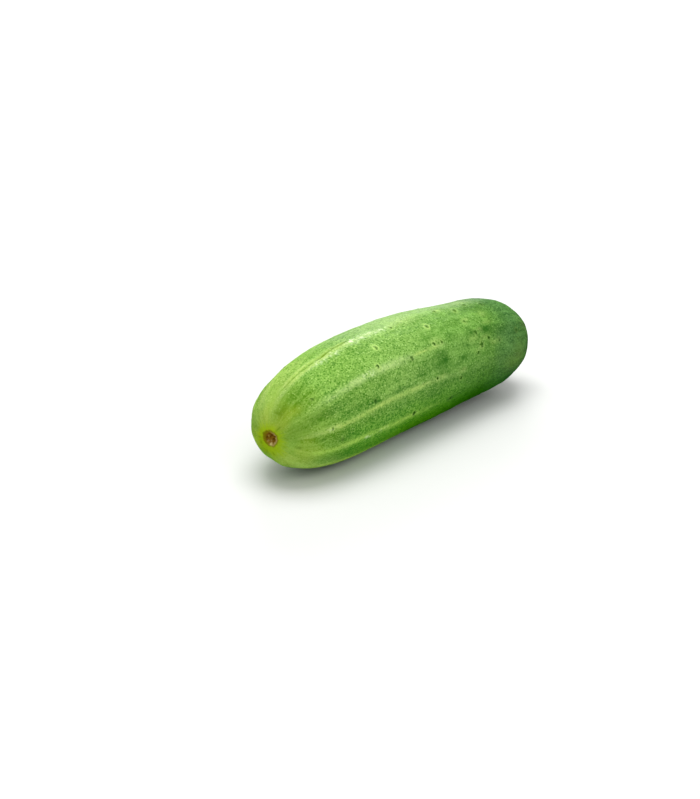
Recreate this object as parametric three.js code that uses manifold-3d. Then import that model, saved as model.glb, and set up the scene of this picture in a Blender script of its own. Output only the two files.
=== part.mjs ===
// A short field cucumber lying on its side. Millimetres, +Z up.
// The blossom end points to -X and the stem end to +X. The origin is on the surface that the
// fruit lies on, under the middle of its bounding box. The fruit grew as one piece, so it is one
// solid: ribs, waist, shoulder, blossom scar, stem scar and warts all belong to the same body.
import * as THREE from "three";
import { mergeVertices } from "three/addons/utils/BufferGeometryUtils.js";
import Module from "manifold-3d";

const wasm = await Module();
wasm.setup();

// ---- driving dimensions -------------------------------------------------------------------

// Places along the fruit are shares of its length: 0 at the blossom tip, 1 at the stem tip.
const fruit = {
  length: 171.4,
  girthRadius: 25, // where it is widest
  widestAt: 0.4,
  blossomCap: 0.365, // share of the length that rounds off to the blossom end
  blossomRoundness: 2.75, // 2 is an ellipse, more is blunter
  blossomTaper: 0.047, // how much slimmer the blossom end runs
  stemCap: 0.272,
  stemRoundness: 2.23,
};
const waist = { depth: 0.117, at: 0.807, spread: 0.161 }; // shares of radius and length
const shoulder = { height: 1.4, at: 0.851, spread: 0.07, bearing: 93 }; // a swelling by the stem

// The fruit bows sideways: its middle lies towards +Y. Its ends hang a little lower.
const bend = { sideways: 7.5, bowAt: 0.5, stemRise: -0.4, endsRise: -2.5 };

// The flat that it rests on is this far above the lowest point of the round body.
const restDepth = 0.4;

// Blunt ribs run lengthwise. Bearings go round the fruit: 0 is +Y, 90 is up, 180 is -Y.
const ribs = {
  bearings: [22, 58, 98, 140, 172, 200, 238, 272, 308, 342],
  height: 0.4,
  halfWidth: 10, // degrees
  fadeIn: 0.07, // share of the length over which ribs rise from each end
};
const angular = { corners: 3, share: 0.013, bearing: 116 }; // a faint three-sided section
const settleRadius = 9; // what sets the section apart from a circle dies out inside this radius

// Blossom scar: a sunken corky disc inside a low rim. Distances are from its own middle, which
// lies a little aside of the fruit's axis.
const blossomScar = {
  discRadius: 1.9,
  wallRadius: 2.8,
  depth: 0.7,
  rimRadius: 3.5,
  rimHeight: 0.22,
  aside: 0.9,
  asideBearing: 3,
  asideReach: 9, // the skin round it is on the axis again at this radius
};
// Stem scar: a low round stub where the stalk came away, dished, in a shallow hollow.
const stemScar = {
  hollowRadius: 7,
  hollowDepth: 0.9,
  stubRadius: 3.1,
  stubFoot: 4.2,
  stubHeight: 1.3,
  dishRadius: 2.2,
  dishDepth: 0.6,
};

// Warts: low domes, each on a spent spine base. Those on the side towards -Y are placed one by
// one, as [place along the fruit, bearing, size]. The rest are scattered over the other side.
const warts = {
  radius: 0.95,
  height: 0.42,
  sides: 6,
  near: [
    [0.0925, 173, 0.8],
    [0.124, 191, 0.75],
    [0.079, 127, 0.75],
    [0.218, 107, 0.8],
    [0.25, 165, 0.8],
    [0.308, 136, 1],
    [0.351, 117, 1.2],
    [0.421, 200, 1.1],
    [0.436, 143, 1],
    [0.459, 102, 0.9],
    [0.513, 172, 0.8],
    [0.54, 138, 1],
    [0.562, 117, 1.15],
    [0.571, 139, 0.8],
    [0.587, 203, 1],
    [0.622, 183, 0.9],
    [0.642, 99, 1],
    [0.705, 162, 0.9],
    [0.704, 124, 1],
    [0.709, 105, 1.15],
    [0.718, 140, 1],
    [0.729, 155, 1.2],
    [0.763, 150, 1],
    [0.764, 98, 0.9],
    [0.805, 156, 0.9],
    [0.815, 104, 1],
    [0.89, 149, 0.9],
  ],
  farCount: 22,
  farFrom: [0.08, -48], // one corner of the scattered ones' area
  farTo: [0.94, 78], // and the other
  apart: 8.5, // least distance between two of them
  leastSize: 0.75,
  mostSize: 1.25,
  seed: 11,
};

// Facets of the body.
const mesh = { around: 64, along: 40, endRingRadii: [1.0, 1.9, 2.35, 2.8, 3.5, 4.4, 5.8, 7.4] };

// ---- form ---------------------------------------------------------------------------------

const radians = THREE.MathUtils.degToRad;
const bump = (x, centre, spread) => Math.exp(-(((x - centre) / spread) ** 2));

// A superellipse quarter: 0 at the tip, 1 where the cap meets the body.
function capScale(fromTip, capLength, roundness) {
  const rest = Math.max(0, 1 - fromTip / capLength);
  return (1 - rest ** roundness) ** (1 / roundness);
}

// Mean radius of the section at a place along the fruit.
function sectionRadius(t) {
  const slimmer = (Math.max(0, fruit.widestAt - t) / fruit.widestAt) ** 1.5;
  const belly = 1 - fruit.blossomTaper * slimmer - waist.depth * bump(t, waist.at, waist.spread);
  const blossom = capScale(t, fruit.blossomCap, fruit.blossomRoundness);
  const stem = capScale(1 - t, fruit.stemCap, fruit.stemRoundness);
  return fruit.girthRadius * belly * blossom * stem;
}

// How the section differs from a circle, at a place t and a bearing in degrees.
function reliefAt(t, bearing) {
  const ribStrength = THREE.MathUtils.smoothstep(Math.min(t, 1 - t), 0, ribs.fadeIn);
  let relief = 0;
  for (const rib of ribs.bearings) {
    const away = THREE.MathUtils.euclideanModulo(bearing - rib + 180, 360) - 180;
    relief += ribs.height * ribStrength * bump(away, 0, ribs.halfWidth);
  }
  const corner = Math.cos(angular.corners * radians(bearing - angular.bearing));
  relief += angular.share * sectionRadius(t) * corner;
  const facing = Math.max(0, Math.cos(radians(bearing - shoulder.bearing)));
  relief += shoulder.height * bump(t, shoulder.at, shoulder.spread) * facing ** 2;
  return relief;
}

const axisHeight = fruit.girthRadius - restDepth;

function axisPoint(t) {
  return new THREE.Vector3(
    (t - 0.5) * fruit.length,
    bend.sideways * (1 - (2 * (t - bend.bowAt)) ** 2),
    axisHeight + bend.stemRise * (t - 0.5) + bend.endsRise * (2 * t - 1) ** 2,
  );
}

// The direction of the axis, towards the stem end.
function axisDirection(t) {
  const step = 1e-3;
  return axisPoint(t + step).sub(axisPoint(t - step)).normalize();
}

// How far the skin is pushed outwards along the axis at the blossom end.
function blossomPush(fromAxis) {
  const { discRadius, wallRadius, depth, rimRadius, rimHeight } = blossomScar;
  const sunk = 1 - THREE.MathUtils.smoothstep(fromAxis, discRadius, wallRadius);
  return rimHeight * bump(fromAxis, rimRadius, wallRadius - discRadius) - depth * sunk;
}

// The same at the stem end: the stub stands in the hollow.
function stemPush(fromAxis) {
  const { hollowRadius, hollowDepth, stubRadius, stubFoot, stubHeight } = stemScar;
  const hollow = hollowDepth * bump(fromAxis, 0, hollowRadius);
  const stub = stubHeight * (1 - THREE.MathUtils.smoothstep(fromAxis, stubRadius, stubFoot));
  const dish = stemScar.dishDepth * bump(fromAxis, 0, stemScar.dishRadius);
  return stub - dish - hollow;
}

// How far the rings of skin round the blossom scar are moved aside with it.
function scarShift(t, radius) {
  const { aside, rimRadius, asideReach } = blossomScar;
  return t < 0.5 ? aside * (1 - THREE.MathUtils.smoothstep(radius, rimRadius, asideReach)) : 0;
}

// The point of the skin at a place t and a bearing.
function skinPoint(t, bearing) {
  const radius = sectionRadius(t);
  const along = axisDirection(t);
  const side = new THREE.Vector3(0, 0, 1).cross(along).normalize(); // towards +Y
  const up = along.clone().cross(side);
  const settled = Math.min(1, radius / settleRadius);
  const reach = radius + reliefAt(t, bearing) * settled ** 2;
  const push = t < 0.5 ? -blossomPush(radius) : stemPush(radius);
  const shift = scarShift(t, radius);
  const towards = radians(blossomScar.asideBearing);
  return axisPoint(t)
    .addScaledVector(side, reach * Math.cos(radians(bearing)) + shift * Math.cos(towards))
    .addScaledVector(up, reach * Math.sin(radians(bearing)) + shift * Math.sin(towards))
    .addScaledVector(along, push);
}

// ---- solids -------------------------------------------------------------------------------

// The place where the section has a given radius, near the blossom end or near the stem end.
function placeOfRadius(radius, nearStem) {
  let low = 0;
  let high = 0.2;
  for (let halving = 0; halving < 40; halving++) {
    const middle = (low + high) / 2;
    if (sectionRadius(nearStem ? 1 - middle : middle) < radius) low = middle;
    else high = middle;
  }
  return nearStem ? 1 - low : low;
}

// Places of the rings: close together round both scars, and cosine-spaced between.
function ringPlaces() {
  const first = mesh.endRingRadii.map((radius) => placeOfRadius(radius, false));
  const last = mesh.endRingRadii.map((radius) => placeOfRadius(radius, true)).reverse();
  const start = first.at(-1);
  const end = last[0];
  const toAngle = (t) => Math.acos(1 - 2 * t);
  const between = [];
  for (let i = 1; i < mesh.along; i++) {
    const angle = THREE.MathUtils.lerp(toAngle(start), toAngle(end), i / mesh.along);
    between.push((1 - Math.cos(angle)) / 2);
  }
  return [...first, ...between, ...last];
}

function bodyGeometry() {
  const places = ringPlaces();
  const points = [skinPoint(0, 0)];
  for (const t of places) {
    for (let j = 0; j < mesh.around; j++) points.push(skinPoint(t, (360 * j) / mesh.around));
  }
  points.push(skinPoint(1, 0));
  const at = (ring, j) => 1 + ring * mesh.around + (j % mesh.around);
  const index = [];
  for (let j = 0; j < mesh.around; j++) {
    index.push(0, at(0, j + 1), at(0, j));
    for (let ring = 0; ring < places.length - 1; ring++) {
      index.push(at(ring, j), at(ring, j + 1), at(ring + 1, j + 1));
      index.push(at(ring, j), at(ring + 1, j + 1), at(ring + 1, j));
    }
    index.push(points.length - 1, at(places.length - 1, j), at(places.length - 1, j + 1));
  }
  const geometry = new THREE.BufferGeometry().setFromPoints(points);
  geometry.setIndex(index);
  return geometry;
}

// A small repeatable random number maker, 0 to 1.
function seededRandom(seed) {
  let state = seed;
  return () => {
    state = (state * 48271) % 2147483647;
    return state / 2147483647;
  };
}

// Where the warts sit. The scattered ones fall at random, but not close to any other.
function wartPlaces() {
  const random = seededRandom(warts.seed);
  const between = (low, high) => THREE.MathUtils.lerp(low, high, random());
  const placed = warts.near.map(([t, bearing, size]) => ({
    t,
    bearing,
    size,
    centre: skinPoint(t, bearing),
  }));
  while (placed.length < warts.near.length + warts.farCount) {
    const t = between(warts.farFrom[0], warts.farTo[0]);
    const bearing = between(warts.farFrom[1], warts.farTo[1]);
    const size = between(warts.leastSize, warts.mostSize);
    const centre = skinPoint(t, bearing);
    if (placed.every((other) => other.centre.distanceTo(centre) > warts.apart)) {
      placed.push({ t, bearing, size, centre });
    }
  }
  return placed;
}

// The outward direction of the skin.
function skinNormal(t, bearing) {
  const ahead = skinPoint(t + 0.002, bearing).sub(skinPoint(t - 0.002, bearing));
  const round = skinPoint(t, bearing + 1).sub(skinPoint(t, bearing - 1));
  return round.cross(ahead).normalize();
}

// A low dome with a small blunt tip, sunk well into the skin.
function wartGeometry({ t, bearing, size, centre }) {
  const radius = warts.radius * size;
  const rise = warts.height * size;
  const profile = [
    new THREE.Vector2(0, -1.2),
    new THREE.Vector2(radius * 1.05, -1.2),
    new THREE.Vector2(radius, 0),
    new THREE.Vector2(radius * 0.6, rise * 0.72),
    new THREE.Vector2(radius * 0.25, rise),
    new THREE.Vector2(0, rise * 1.1),
  ];
  const geometry = new THREE.LatheGeometry(profile, warts.sides);
  const outward = skinNormal(t, bearing);
  geometry.applyQuaternion(
    new THREE.Quaternion().setFromUnitVectors(new THREE.Vector3(0, 1, 0), outward),
  );
  geometry.translate(centre.x, centre.y, centre.z);
  return geometry;
}

// A closed three.js geometry as a solid that can be joined and cut.
function toSolid(geometry) {
  const bare = geometry.clone();
  bare.deleteAttribute("normal");
  bare.deleteAttribute("uv");
  const merged = mergeVertices(bare, 1e-4);
  const vertProperties = new Float32Array(merged.attributes.position.array);
  const triVerts = new Uint32Array(merged.index.array);
  return new wasm.Manifold(new wasm.Mesh({ numProp: 3, vertProperties, triVerts }));
}

function toGeometry(solid) {
  const { vertProperties, triVerts } = solid.getMesh();
  const geometry = new THREE.BufferGeometry();
  geometry.setAttribute("position", new THREE.BufferAttribute(vertProperties, 3));
  geometry.setIndex(new THREE.BufferAttribute(triVerts, 1));
  return geometry;
}

function cucumberGeometry() {
  let solid = toSolid(bodyGeometry());
  for (const wart of wartPlaces()) solid = solid.add(toSolid(wartGeometry(wart)));

  // The flat spot that it rests on.
  const below = new THREE.BoxGeometry(2 * fruit.length, 2 * fruit.length, fruit.length);
  below.translate(0, 0, -fruit.length / 2);
  solid = solid.subtract(toSolid(below));

  const geometry = toGeometry(solid);
  geometry.computeBoundingBox();
  const middle = geometry.boundingBox.getCenter(new THREE.Vector3());
  geometry.translate(-middle.x, -middle.y, 0);
  return geometry.toNonIndexed();
}

// ---- the part -----------------------------------------------------------------------------

const skin = new THREE.MeshStandardMaterial({ color: 0x6f9c45, roughness: 0.45, metalness: 0 });
const geometry = cucumberGeometry();
geometry.computeVertexNormals();
const cucumber = new THREE.Mesh(geometry, skin);
cucumber.name = "cucumber";

const part = new THREE.Group();
part.add(cucumber);

export default part;
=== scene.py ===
import math

import bmesh
import bpy
import numpy as np
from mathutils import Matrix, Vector


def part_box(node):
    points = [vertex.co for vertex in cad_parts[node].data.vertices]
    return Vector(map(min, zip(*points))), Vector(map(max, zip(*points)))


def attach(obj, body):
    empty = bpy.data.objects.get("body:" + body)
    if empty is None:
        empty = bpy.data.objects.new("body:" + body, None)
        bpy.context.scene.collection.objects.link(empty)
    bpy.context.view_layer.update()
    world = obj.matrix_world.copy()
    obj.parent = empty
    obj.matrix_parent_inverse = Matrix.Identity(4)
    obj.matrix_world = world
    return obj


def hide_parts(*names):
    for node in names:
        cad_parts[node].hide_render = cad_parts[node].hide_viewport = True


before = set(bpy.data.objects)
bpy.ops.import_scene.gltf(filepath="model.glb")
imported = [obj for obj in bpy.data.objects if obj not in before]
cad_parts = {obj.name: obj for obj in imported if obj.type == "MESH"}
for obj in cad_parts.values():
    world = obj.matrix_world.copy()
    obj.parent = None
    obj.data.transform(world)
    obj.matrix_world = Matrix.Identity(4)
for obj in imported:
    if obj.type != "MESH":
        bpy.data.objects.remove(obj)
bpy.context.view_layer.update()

millimetre = 0.001
farAway = 99.0  # millimetres: further than any mark reaches
print("frame loaded")


def smoothstep(x, low, high):
    share = np.clip((x - low) / (high - low), 0.0, 1.0)
    return share * share * (3 - 2 * share)


def bump(x, centre, spread):
    return np.exp(-(((x - centre) / spread) ** 2))


def turnedFrom(bearing, other):  # degrees between two bearings, -180 to 180
    return (bearing - other + 180) % 360 - 180


def unit(vectors):
    return vectors / np.linalg.norm(vectors, axis=-1, keepdims=True)


# Smooth repeatable noise: many plane waves in random directions, about -2 to 2.
def ripple(points, wavelength, seed, waves=48, shortest=0.75, longest=1.5):
    draw = np.random.default_rng(seed)
    turns = 2 * math.pi / (wavelength * draw.uniform(shortest, longest, waves))
    directions = unit(draw.normal(size=(waves, 3))) * turns[:, None]
    phases = draw.uniform(0, 2 * math.pi, waves)
    return np.cos(points @ directions.T + phases).sum(axis=1) * math.sqrt(2 / waves)


def rippleAlong(distance, wavelength, seed):
    still = np.zeros_like(distance)
    return ripple(np.column_stack([distance, still, still]), wavelength, seed)


# Millimetres and degrees. Places along are shares of the length, 0 at the blossom tip and 1 at
# the stem tip. Bearings go round the fruit: 0 is +Y, 90 is up, 180 is -Y.
fruit = dict(
    length=171.4, girthRadius=25.0, widestAt=0.4,
    blossomCap=0.365, blossomRoundness=2.75, blossomTaper=0.047, taperPower=1.5,
    stemCap=0.272, stemRoundness=2.23,
    waistDepth=0.117, waistAt=0.807, waistSpread=0.161,
    shoulderHeight=1.4, shoulderAt=0.851, shoulderSpread=0.07, shoulderBearing=93,
    bow=7.5, bowAt=0.5, stemRise=-0.4, endsRise=-2.5,
    restDepth=0.4,  # how far the flat underside cuts into the round
    corners=3, cornerShare=0.013, cornerBearing=116,
    ribs=(22, 58, 98, 140, 172, 200, 238, 272, 308, 342),  # bearings
    ribHeight=0.4, ribHalfWidth=10, ribFadeIn=0.07,
    swells=[  # height, width, length and seed
        (0.06, 6.5, 40, 3), (0.035, 7, 7, 5), (0.022, 2.2, 2.2, 8),
    ],
    settleRadius=9.0,  # relief dies out inside this distance of the axis
)

# Pale stripes on the ribs. Each has its course as places along and bearings, half width,
# strength, how yellow it is, over which places it starts and over which it fades.
stripes = dict(
    places=[
        ([(0, 26), (0.17, 22)], 3.2, 0.62, 0.9, (0, 0.08), (0.4, 0.62)),
        ([(0, 53), (0.17, 58)], 3.4, 0.4, 0.4, (0, 0.08), (0.42, 0.6)),
        ([(0, 80), (0.08, 84), (0.24, 89)], 2, 0.55, 0.3, (0.03, 0.08), (0.16, 0.28)),
        ([(0, 84), (0.05, 88), (0.12, 94), (0.2, 98), (0.36, 97.5), (0.48, 100)],
         3.5, 0.62, 0.15, (0, 0.08), (0.38, 0.53)),
        ([(0, 137.5), (0.05, 138), (0.12, 139), (0.25, 139.4), (0.44, 140.8)],
         3.8, 0.72, 0.1, (0, 0.24), (0.34, 0.5)),
        ([(0.43, 141), (0.58, 142)], 1.6, 0.8, 0.7, (0.43, 0.46), (0.52, 0.6)),
        ([(0, 174), (0.05, 172.5), (0.12, 173.7), (0.25, 171.6), (0.38, 172.2), (0.5, 173),
          (0.66, 178)],
         2.5, 0.95, 0.65, (0, 0.1), (0.38, 0.64)),
        ([(0, 209), (0.05, 205), (0.12, 201), (0.2, 199), (0.34, 201.5), (0.53, 202)],
         3.4, 1, 0.7, (0, 0.07), (0.32, 0.6)),
        # the next stripe, low on the near side, is wide and strong partly as painted bounce light
        # from below
        ([(0, 240), (0.06, 240), (0.12, 236), (0.16, 234), (0.24, 233), (0.45, 234)],
         5.6, 1.8, 0.5, (0, 0.08), (0.2, 0.5)),
        ([(0, 270), (0.17, 272)], 3.2, 0.7, 0.7, (0, 0.08), (0.44, 0.64)),
        ([(0, 310), (0.17, 308)], 3, 0.75, 0.8, (0, 0.08), (0.38, 0.58)),
        ([(0, 338), (0.17, 342)], 3.2, 0.75, 0.6, (0, 0.08), (0.44, 0.66)),
    ],
    edge=2.2,  # how sharply a stripe ends at its sides
    yellowWider=2, yellowEdge=4,
    widerAtTip=0.7, widerTo=0.16,
    wander=0.6, wanderSize=38, wanderSeed=21,  # degrees, and millimetres along
    wanderTurn=2.4,  # sets each stripe's share of the wander
)


# Places from tip to tip, close together at both.
def placesAlong(count):
    return (1 - np.cos(np.linspace(0, math.pi, count))) / 2


# A superellipse quarter: 0 at the tip, 1 where the cap meets the body.
def capScale(fromTip, capLength, roundness):
    rest = np.maximum(0.0, 1 - fromTip / capLength)
    return np.maximum(0.0, 1 - rest ** roundness) ** (1 / roundness)


def sectionRadius(t):
    beforeWidest = np.maximum(0.0, fruit["widestAt"] - t) / fruit["widestAt"]
    slimmer = beforeWidest ** fruit["taperPower"]
    waist = fruit["waistDepth"] * bump(t, fruit["waistAt"], fruit["waistSpread"])
    belly = 1 - fruit["blossomTaper"] * slimmer - waist
    blossomEnd = capScale(t, fruit["blossomCap"], fruit["blossomRoundness"])
    stemEnd = capScale(1 - t, fruit["stemCap"], fruit["stemRoundness"])
    return fruit["girthRadius"] * belly * blossomEnd * stemEnd


def axisPoint(t):
    height = fruit["girthRadius"] - fruit["restDepth"]
    return np.stack([
        (t - 0.5) * fruit["length"],
        fruit["bow"] * (1 - (2 * (t - fruit["bowAt"])) ** 2),
        height + fruit["stemRise"] * (t - 0.5) + fruit["endsRise"] * (2 * t - 1) ** 2,
    ], axis=-1)


# Broad relief that the solid model has too: ribs, a faintly three-sided section, a shoulder.
def broadRelief(t, bearing):
    ribHeight = fruit["ribHeight"] * smoothstep(np.minimum(t, 1 - t), 0, fruit["ribFadeIn"])
    relief = np.zeros_like(t)
    for rib in fruit["ribs"]:
        relief += ribHeight * bump(turnedFrom(bearing, rib), 0, fruit["ribHalfWidth"])
    corner = np.cos(np.radians(fruit["corners"] * (bearing - fruit["cornerBearing"])))
    relief += fruit["cornerShare"] * sectionRadius(t) * corner
    shoulder = fruit["shoulderHeight"] * bump(t, fruit["shoulderAt"], fruit["shoulderSpread"])
    facing = np.maximum(0.0, np.cos(np.radians(bearing - fruit["shoulderBearing"])))
    return relief + shoulder * facing ** 2


# Fine relief that only this skin has.
def fineRelief(arc, offAxis):
    relief = np.zeros_like(arc)
    for height, width, length, seed in fruit["swells"]:
        relief += height * ripple(np.column_stack([arc * width / length, offAxis]), width, seed)
    return relief


# The blossom scar: a sunken corky disc inside a low rim. Distances are from its own middle, which
# lies a little aside of the fruit's axis.
blossom = dict(
    discRadius=1.9, wallRadius=2.8, depth=0.7, rimRadius=3.5, rimHeight=0.22,
    aside=0.9, asideBearing=3,
    asideReach=9.0,  # the skin round it is on the axis again at this radius
    uneven=0.20, unevenSize=1.7, unevenSeed=31,  # how far its outline strays, and how far apart
    unevenRadius=3.0,  # of the circle that those strays are read on
    cork=0.14, corkSize=1.25, corkSeed=33,  # lumps of dry tissue in it
    pits=[  # bearing, distance from the middle, radius, strength
        (100, 1.3, 0.5, 1), (357, 2.1, 0.46, 1), (64, 2.2, 0.34, 1),
        (200, 1.2, 0.4, 1), (31, 0.5, 0.34, 1), (150, 2, 0.3, 1),
    ],
    pitDepth=0.35,
    nodules=[  # pale ones, likewise
        (266, 2.5, 0.55, 1), (314, 2, 0.42, 0.3), (273, 1.2, 0.4, 0.3), (30, 1.5, 0.4, 0.25),
    ],
    noduleHeight=0.3,
    ringBearing=190,  # where the dry ring is palest
    haloBearing=308, haloLopsided=0.42,  # the yellow round it reaches further that way, partly as painted shade
    puckers=11, puckerAt=5.2, puckerReach=2.2, puckerHeight=0.10, puckerTurn=0.7,
)

# The stem scar: a low dished stub where the stalk came away, in a shallow hollow. Its bundles are
# the cut ends of the stalk's strands.
stem = dict(
    hollowRadius=7.0, hollowDepth=0.9, stubRadius=3.1, stubFoot=4.2, stubHeight=1.3,
    dishRadius=2.2, dishDepth=0.6,
    uneven=0.2,
    strands=11, strandHeight=0.16,  # ridges down the stub's side
    strandInside=0.4, strandReach=0.8, strandWander=1.3,
    cork=0.08, corkSize=0.9, corkSeed=35,
    bundles=9, bundleAt=2.05, bundleRadius=0.34, bundleDepth=0.22, bundleStray=0.25, bundleSeed=61,
    puckers=9, puckerAt=7.0, puckerReach=2.6, puckerHeight=0.16, puckerTurn=2.0,
)

puckerWander = (0.8, 0.5)  # radians by which the folds round both scars stray
tipsApart = 60.0  # millimetres between the two scars in the noise they share


def blossomPush(fromAxis, uneven=0.0):
    place = fromAxis + uneven
    rimWidth = blossom["wallRadius"] - blossom["discRadius"]
    rim = blossom["rimHeight"] * bump(place, blossom["rimRadius"], rimWidth)
    sunk = 1 - smoothstep(place, blossom["discRadius"], blossom["wallRadius"])
    return rim - blossom["depth"] * sunk


def stemPush(fromAxis, uneven=0.0):
    hollow = stem["hollowDepth"] * bump(fromAxis, 0, stem["hollowRadius"])
    onStub = 1 - smoothstep(fromAxis + uneven, stem["stubRadius"], stem["stubFoot"])
    dish = stem["dishDepth"] * bump(fromAxis, 0, stem["dishRadius"])
    return stem["stubHeight"] * onStub - dish - hollow


# How far the rings of skin round the blossom scar are moved aside with it.
def scarShift(t, radius):
    moved = 1 - smoothstep(radius, blossom["rimRadius"], blossom["asideReach"])
    return np.where(t < 0.5, blossom["aside"] * moved, 0.0)


# The skin's points for arrays of places, with extra relief and pushes where given.
def skinPoint(t, bearing, extra=0.0, endExtra=0.0, uneven=0.0):
    step = 1e-3  # either way, for the axis's direction
    radius = sectionRadius(t)
    along = unit(axisPoint(t + step) - axisPoint(t - step))
    side = unit(np.cross([0.0, 0.0, 1.0], along))
    up = np.cross(along, side)
    settled = np.minimum(1, radius / fruit["settleRadius"]) ** 2
    reach = radius + (broadRelief(t, bearing) + extra) * settled
    byBlossom = t < 0.5
    push = np.where(byBlossom, blossomPush(radius, uneven), stemPush(radius, uneven)) + endExtra
    push = np.where(byBlossom, -push, push)
    shift = scarShift(t, radius)
    towards = math.radians(blossom["asideBearing"])
    sideways = reach * np.cos(np.radians(bearing)) + shift * math.cos(towards)
    upwards = reach * np.sin(np.radians(bearing)) + shift * math.sin(towards)
    return axisPoint(t) + side * sideways[:, None] + up * upwards[:, None] + along * push[:, None]


# Where the skin's own frame sits in the part's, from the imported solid's box.
def findOffset(places=721, bearingStep=2.0):
    t, bearing = np.meshgrid(placesAlong(places), np.arange(0, 360, bearingStep))
    points = skinPoint(t.ravel(), bearing.ravel())
    low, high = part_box("cucumber")
    middle = (np.array(low) + np.array(high)) / 2 / millimetre
    shift = middle - (points.min(axis=0) + points.max(axis=0)) / 2
    shift[2] = 0.0
    return shift


offset = findOffset()
print("skin frame shifted by", offset.round(2), "mm")


# Low domes on spent spine bases: place along, bearing, size, strength of the pale ring round it,
# strength of its dark middle. The rest are scattered over the far side.
warts = dict(
    near=[
        (0.0925, 173, 0.8, 0.8, 0.7), (0.124, 191, 0.75, 0.1, 0.8), (0.079, 127, 0.75, 0.1, 0.7),
        (0.218, 107, 0.8, 0.1, 0.2), (0.25, 165, 0.8, 0.1, 1), (0.308, 136, 1, 0.9, 1),
        (0.351, 117, 1.2, 1.3, 0.5), (0.421, 200, 1.1, 0.15, 1), (0.436, 143, 1, 0.15, 0.85),
        (0.459, 102, 0.9, 0.5, 0.75), (0.513, 172, 0.8, 0.4, 1), (0.54, 138, 1, 0.7, 0.85),
        (0.562, 117, 1.15, 1.1, 0.55), (0.571, 139, 0.8, 0.5, 0.9), (0.587, 203, 1, 0.15, 1),
        (0.622, 183, 0.9, 0.15, 1), (0.642, 99, 1, 0.15, 0.9), (0.705, 162, 0.9, 0.15, 1),
        (0.704, 124, 1, 0.5, 0.6), (0.709, 105, 1.15, 0.5, 0.8), (0.718, 140, 1, 0.15, 0.75),
        (0.729, 155, 1.2, 0.4, 0.85), (0.763, 150, 1, 0.15, 1), (0.764, 98, 0.9, 0.15, 0.9),
        (0.805, 156, 0.9, 0.15, 0.8), (0.815, 104, 1, 0.15, 0.35), (0.89, 149, 0.9, 0.15, 0.5),
    ],
    farCount=22, farAlong=(0.08, 0.94), farBearings=(-48, 78), farSizes=(0.75, 1.25),
    apart=8.5, seed=11,
    farRing=0.5, farMiddle=(0.35, 0.9),  # strengths of the scattered ones' marks
    farTurns=(90.0, 47.0),  # and how those vary along the fruit
    farFades=(50, 72),  # bearings over which their marks fade, near the top
    radius=1.15, height=0.36,  # of the dome
    pitRadius=0.32, pitDepth=0.16,  # where the spine broke off
    coreFades=(0.315, 1.47),  # distances over which the dark middle fades
    coreUneven=0.22, coreUnevenSize=1.1, coreUnevenSeed=51,
    ringRadius=1.15, ringWidth=0.60,  # of the pale ring round it
    reach=4.6,  # nothing of a wart is left beyond this
)


# The same random numbers as the solid model's, so that its domes lie under these.
def seededRandom(seed, multiplier=48271, modulus=2147483647):
    while True:
        seed = seed * multiplier % modulus
        yield seed / modulus


def wartCentre(t, bearing):
    return skinPoint(np.array([t]), np.array([float(bearing)]))[0]


def wartPlaces():
    draw = seededRandom(warts["seed"])

    def pick(low, high):
        return low + (high - low) * next(draw)

    placed = [(*near, wartCentre(near[0], near[1])) for near in warts["near"]]
    while len(placed) < len(warts["near"]) + warts["farCount"]:
        t = pick(*warts["farAlong"])
        bearing = pick(*warts["farBearings"])
        size = pick(*warts["farSizes"])
        centre = wartCentre(t, bearing)
        if all(np.linalg.norm(centre - other) > warts["apart"] for *_, other in placed):
            ringShare, middleShare = (math.cos(t * turns) ** 2 for turns in warts["farTurns"])
            faint = 1 - smoothstep(bearing, *warts["farFades"])
            least, greatest = warts["farMiddle"]
            ring = warts["farRing"] * ringShare * faint
            middle = (least + (greatest - least) * middleShare) * faint
            placed.append((t, bearing, size, ring, middle, centre))
    return placed


# A thin healed split in the palest stripe, its route as places along and bearings.
crease = dict(
    route=[
        (0.058, 86.0), (0.08, 87.5), (0.10, 88.8), (0.14, 90.8), (0.18, 93.0), (0.20, 94.2),
        (0.235, 92.4), (0.262, 93.2), (0.30, 93.2), (0.334, 91.5),
    ],
    fadeIn=0.03, fadeOut=0.05,  # shares of the fruit's length
    halfWidth=0.38, depth=0.22, lip=0.10, lipAway=1.1, lipWidth=0.8,
    uneven=0.35, unevenSize=9.0, unevenSeed=71,  # how much its strength varies, and how far apart
)

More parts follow.
